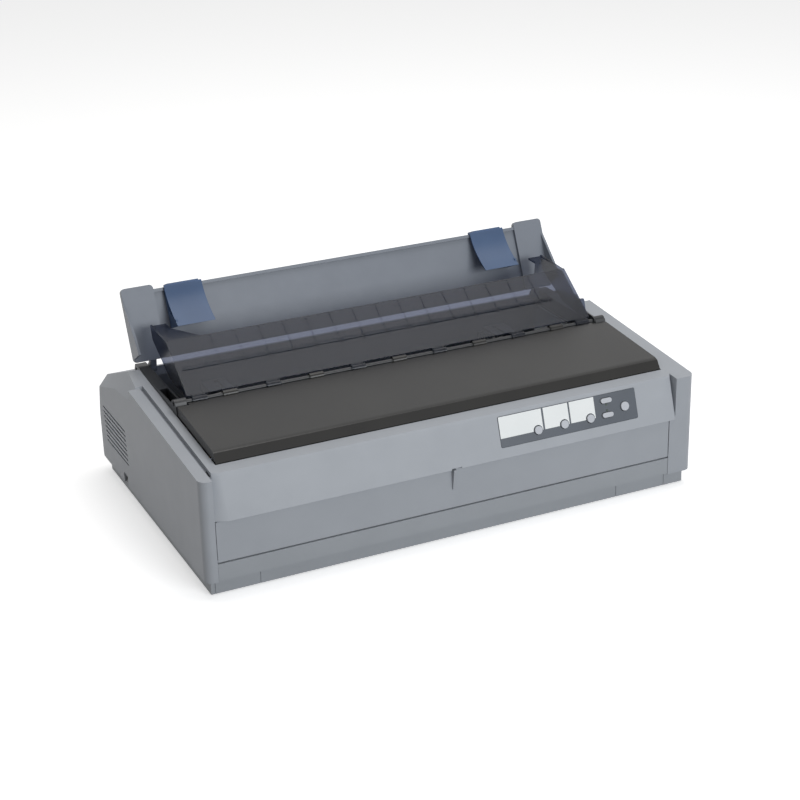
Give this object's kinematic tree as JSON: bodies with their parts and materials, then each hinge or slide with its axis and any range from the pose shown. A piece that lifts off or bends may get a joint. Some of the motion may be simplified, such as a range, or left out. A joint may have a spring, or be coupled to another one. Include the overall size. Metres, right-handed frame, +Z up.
{
  "type": "dot matrix printer",
  "caption": "Wide desktop dot matrix printer with smoked covers, a raised rear paper guide, push tractors and a full print mechanism.",
  "frame": {"origin": "on the table, under the middle of the case's width and depth", "axes": "+Z up, +X to the user's right, +Y to the back"},
  "size_m": [0.639, 0.402, 0.257],
  "materials": {
    "case_plastic": "fine textured",
    "base_plastic": "fine textured",
    "panel_plastic": "smooth",
    "smoke_plastic": "polished",
    "blue_plastic": "satin",
    "dark_plastic": "satin",
    "light_plastic": "smooth",
    "button_plastic": "smooth",
    "lamp_plastic": "clear",
    "rubber": "matt",
    "plated_steel": "zinc plated",
    "bright_steel": "ground",
    "circuit_board": "lacquered",
    "supply_board": "bare",
    "brass": "turned",
    "ribbon_fabric": "inked",
    "motor_metal": "black"
  },
  "bodies": {
    "case": {"lower_case": "base_plastic", "upper_case": "case_plastic", "rubber_feet": "rubber", "base_frame": "plated_steel", "side_frame_left": "plated_steel", "side_frame_right": "plated_steel", "carriage_rod": "bright_steel", "carriage_rail": "plated_steel", "control_panel": "panel_plastic", "panel_lamps": "lamp_plastic", "main_board": "circuit_board", "power_supply": "supply_board", "rear_connectors": "motor_metal", "power_inlet": "dark_plastic", "carriage_motor": "motor_metal", "feed_motor": "motor_metal", "hinge_rails": "dark_plastic", "hinge_rod": "dark_plastic", "paper_chute": "dark_plastic", "ribbon_cartridge": "dark_plastic", "ink_ribbon": "ribbon_fabric", "timing_belt": "rubber", "tractor_guide_shaft": "bright_steel", "case_screws": "plated_steel"},
    "printer_cover": {"printer_cover": "smoke_plastic"},
    "guide_cover": {"guide_cover": "smoke_plastic"},
    "paper_guide": {"paper_guide": "base_plastic"},
    "edge_guide_left": {"edge_guide_left": "blue_plastic"},
    "edge_guide_right": {"edge_guide_right": "blue_plastic"},
    "release_lever": {"release_lever": "blue_plastic"},
    "thickness_lever": {"thickness_lever": "dark_plastic"},
    "front_cover": {"front_cover": "case_plastic"},
    "platen": {"platen": "rubber", "platen_shaft": "bright_steel", "platen_knob": "dark_plastic", "platen_gear": "light_plastic"},
    "pinch_rollers": {"pinch_rollers": "rubber"},
    "idler_gear": {"idler_gear": "light_plastic"},
    "feed_pinion": {"feed_pinion": "brass"},
    "tractor_drive": {"tractor_shaft": "bright_steel", "tractor_gear": "light_plastic"},
    "tractor_left": {"tractor_left": "dark_plastic"},
    "tractor_door_left": {"tractor_door_left": "dark_plastic"},
    "pin_wheel_left": {"pin_wheel_left": "light_plastic"},
    "tractor_right": {"tractor_right": "dark_plastic"},
    "tractor_door_right": {"tractor_door_right": "dark_plastic"},
    "pin_wheel_right": {"pin_wheel_right": "light_plastic"},
    "carriage": {"carriage": "dark_plastic", "print_head": "motor_metal", "ribbon_mask": "plated_steel"},
    "drive_pulley": {"drive_pulley": "light_plastic"},
    "tension_pulley": {"tension_pulley": "light_plastic"},
    "ribbon_knob": {"ribbon_knob": "dark_plastic"},
    "power_rocker": {"power_rocker": "dark_plastic"},
    "select_button_1": {"select_button_1": "button_plastic"},
    "select_button_2": {"select_button_2": "button_plastic"},
    "select_button_3": {"select_button_3": "button_plastic"},
    "pause_button": {"pause_button": "button_plastic"},
    "tear_button_upper": {"tear_button_upper": "button_plastic"},
    "tear_button_lower": {"tear_button_lower": "button_plastic"}
  },
  "joints": [
    {"name": "printer_cover_hinge", "type": "hinge", "parent": "case", "child": "printer_cover", "pos_m": [0, -0.0274, 0.169], "axis": [-1, 0, 0], "range_deg": [0, 60]},
    {"name": "guide_cover_hinge", "type": "hinge", "parent": "case", "child": "guide_cover", "pos_m": [0, -0.0274, 0.169], "axis": [1, 0, 0], "range_deg": [0, 48]},
    {"name": "paper_guide_hinge", "type": "hinge", "parent": "case", "child": "paper_guide", "pos_m": [0, 0.114, 0.16117], "axis": [-1, 0, 0], "range_deg": [0, 70]},
    {"name": "edge_guide_left_slide", "type": "slide", "parent": "paper_guide", "child": "edge_guide_left", "axis": [1, 0, 0], "range_m": [-0.008, 0.15]},
    {"name": "edge_guide_right_slide", "type": "slide", "parent": "paper_guide", "child": "edge_guide_right", "axis": [-1, 0, 0], "range_m": [-0.008, 0.15]},
    {"name": "release_lever_hinge", "type": "hinge", "parent": "case", "child": "release_lever", "pos_m": [0.283, 0, 0.124], "axis": [1, 0, 0], "range_deg": [0, 28]},
    {"name": "thickness_lever_hinge", "type": "hinge", "parent": "case", "child": "thickness_lever", "pos_m": [-0.283, -0.062, 0.108], "axis": [1, 0, 0], "range_deg": [0, 20]},
    {"name": "front_cover_hinge", "type": "hinge", "parent": "case", "child": "front_cover", "pos_m": [0, -0.1925, 0.0455], "axis": [1, 0, 0], "range_deg": [0, 85]},
    {"name": "platen_spin", "type": "hinge", "parent": "case", "child": "platen", "pos_m": [0, 0.021, 0.118], "axis": [1, 0, 0], "continuous": true},
    {"name": "pinch_spin", "type": "hinge", "parent": "case", "child": "pinch_rollers", "pos_m": [0, 0.013, 0.094], "axis": [1, 0, 0], "continuous": true},
    {"name": "idler_spin", "type": "hinge", "parent": "case", "child": "idler_gear", "pos_m": [-0.297, 0.054, 0.118], "axis": [1, 0, 0], "continuous": true},
    {"name": "feed_pinion_spin", "type": "hinge", "parent": "case", "child": "feed_pinion", "pos_m": [-0.297, -0.00949, 0.10537], "axis": [1, 0, 0], "continuous": true},
    {"name": "tractor_drive_spin", "type": "hinge", "parent": "case", "child": "tractor_drive", "pos_m": [0, 0.081, 0.118], "axis": [1, 0, 0], "continuous": true},
    {"name": "tractor_left_slide", "type": "slide", "parent": "case", "child": "tractor_left", "axis": [1, 0, 0], "range_m": [-0.018, 0.12]},
    {"name": "tractor_door_left_hinge", "type": "hinge", "parent": "tractor_left", "child": "tractor_door_left", "pos_m": [-0.2123, 0.081, 0.1255], "axis": [0, -1, 0], "range_deg": [0, 95]},
    {"name": "pin_wheel_left_spin", "type": "hinge", "parent": "tractor_left", "child": "pin_wheel_left", "pos_m": [-0.196, 0.081, 0.118], "axis": [1, 0, 0], "continuous": true},
    {"name": "tractor_right_slide", "type": "slide", "parent": "case", "child": "tractor_right", "axis": [-1, 0, 0], "range_m": [-0.018, 0.12]},
    {"name": "tractor_door_right_hinge", "type": "hinge", "parent": "tractor_right", "child": "tractor_door_right", "pos_m": [0.2123, 0.081, 0.1255], "axis": [0, 1, 0], "range_deg": [0, 95]},
    {"name": "pin_wheel_right_spin", "type": "hinge", "parent": "tractor_right", "child": "pin_wheel_right", "pos_m": [0.196, 0.081, 0.118], "axis": [1, 0, 0], "continuous": true},
    {"name": "carriage_slide", "type": "slide", "parent": "case", "child": "carriage", "axis": [1, 0, 0], "range_m": [-0.185, 0.185]},
    {"name": "drive_pulley_spin", "type": "hinge", "parent": "case", "child": "drive_pulley", "pos_m": [-0.244, -0.045, 0.073], "axis": [0, 0, 1], "range_deg": [-1190, 1190]},
    {"name": "tension_pulley_spin", "type": "hinge", "parent": "case", "child": "tension_pulley", "pos_m": [0.244, -0.045, 0.073], "axis": [0, 0, 1], "range_deg": [-1190, 1190]},
    {"name": "ribbon_knob_spin", "type": "hinge", "parent": "case", "child": "ribbon_knob", "pos_m": [-0.15, -0.125, 0.13], "axis": [0, 0, 1], "continuous": true},
    {"name": "power_rocker_hinge", "type": "hinge", "parent": "case", "child": "power_rocker", "pos_m": [-0.314, 0.097, 0.0265], "axis": [0, 1, 0], "range_deg": [0, 12]},
    {"name": "select_button_1_press", "type": "slide", "parent": "case", "child": "select_button_1", "axis": [0, 0.9541, -0.2993], "range_m": [0, 0.0015], "stiffness_N_per_m": 400},
    {"name": "select_button_2_press", "type": "slide", "parent": "case", "child": "select_button_2", "axis": [0, 0.9541, -0.2993], "range_m": [0, 0.0015], "stiffness_N_per_m": 400},
    {"name": "select_button_3_press", "type": "slide", "parent": "case", "child": "select_button_3", "axis": [0, 0.9541, -0.2993], "range_m": [0, 0.0015], "stiffness_N_per_m": 400},
    {"name": "pause_button_press", "type": "slide", "parent": "case", "child": "pause_button", "axis": [0, 0.9541, -0.2993], "range_m": [0, 0.0015], "stiffness_N_per_m": 400},
    {"name": "tear_button_upper_press", "type": "slide", "parent": "case", "child": "tear_button_upper", "axis": [0, 0.9541, -0.2993], "range_m": [0, 0.0015], "stiffness_N_per_m": 400},
    {"name": "tear_button_lower_press", "type": "slide", "parent": "case", "child": "tear_button_lower", "axis": [0, 0.9541, -0.2993], "range_m": [0, 0.0015], "stiffness_N_per_m": 400}
  ],
  "couplings": [
    {"joint": "idler_spin", "follows": "platen_spin", "ratio": -2.6667},
    {"joint": "feed_pinion_spin", "follows": "platen_spin", "ratio": -2.6667},
    {"joint": "tractor_drive_spin", "follows": "platen_spin", "ratio": 1.3333},
    {"joint": "pin_wheel_left_spin", "follows": "platen_spin", "ratio": 1.3333},
    {"joint": "pin_wheel_right_spin", "follows": "platen_spin", "ratio": 1.3333},
    {"joint": "pinch_spin", "follows": "platen_spin", "ratio": -2.5714},
    {"joint": "drive_pulley_spin", "follows": "carriage_slide", "rad_per_m": 111.11},
    {"joint": "tension_pulley_spin", "follows": "carriage_slide", "rad_per_m": 111.11}
  ]
}
